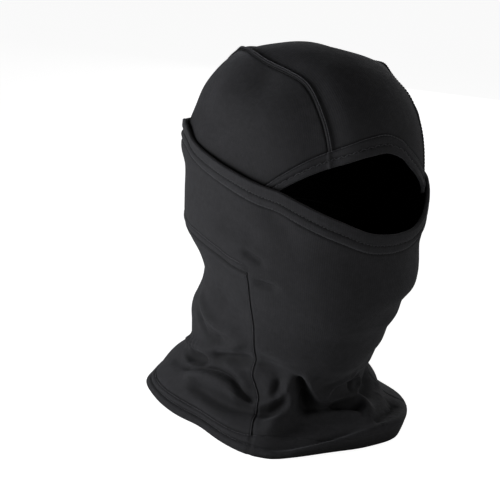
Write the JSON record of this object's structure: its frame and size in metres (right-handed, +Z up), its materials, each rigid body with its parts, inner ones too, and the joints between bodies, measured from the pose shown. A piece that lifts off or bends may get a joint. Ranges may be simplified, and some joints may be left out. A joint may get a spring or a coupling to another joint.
{
  "type": "hinged balaclava",
  "caption": "Stretch-knit head cover with an eye opening, a pull-down face mask joined at the ears, a back band and a flared neck skirt with a turned hem.",
  "frame": {"origin": "middle of the overall box, on the plane the bottom hem stands on", "axes": "+Z up, the face looks along -Y, the wearer's right side is -X"},
  "size_m": [0.1804, 0.2152, 0.2741],
  "materials": {
    "black_knit": "brushed stretch knit, soft matt with a faint cool sheen",
    "hem_knit": "turned double layer of the same brushed knit",
    "seam_knit": "lapped knit seam, slightly shiny where it is stretched",
    "black_thread": "fine black polyester thread, slight gloss",
    "label_tape": "blank black satin tape"
  },
  "bodies": {
    "hood_and_neck": {"crown_center_panel": "black_knit", "crown_side_panel_right": "black_knit", "crown_side_panel_left": "black_knit", "crown_seam_welt_right": "seam_knit", "crown_seam_welt_left": "seam_knit", "crown_topstitch_right": "black_thread", "crown_topstitch_left": "black_thread", "back_band": "black_knit", "back_band_hem": "hem_knit", "back_band_coverstitch": "black_thread", "hinge_seam": "seam_knit", "hinge_seam_topstitch": "black_thread", "neck_front_panel": "black_knit", "neck_back_panel": "black_knit", "side_seam_right": "seam_knit", "side_seam_left": "seam_knit", "side_seam_thread_right": "black_thread", "side_seam_thread_left": "black_thread", "bottom_hem": "hem_knit", "bottom_hem_coverstitch": "black_thread", "care_label": "label_tape"},
    "mask": {"mask_panel": "black_knit", "mask_hem": "hem_knit", "mask_hem_coverstitch": "black_thread"},
    "brow": {"brow_hem": "hem_knit", "brow_hem_coverstitch": "black_thread"}
  },
  "joints": [
    {"name": "mask_pull_down", "type": "hinge", "parent": "hood_and_neck", "child": "mask", "pos_m": [0, -0.00155, 0.126], "axis": [1, 0, 0], "range_deg": [0, 31]},
    {"name": "brow_slide_back", "type": "hinge", "parent": "hood_and_neck", "child": "brow", "pos_m": [0, -0.01755, 0.196], "axis": [1, 0, 0], "range_deg": [-26, 4]}
  ]
}
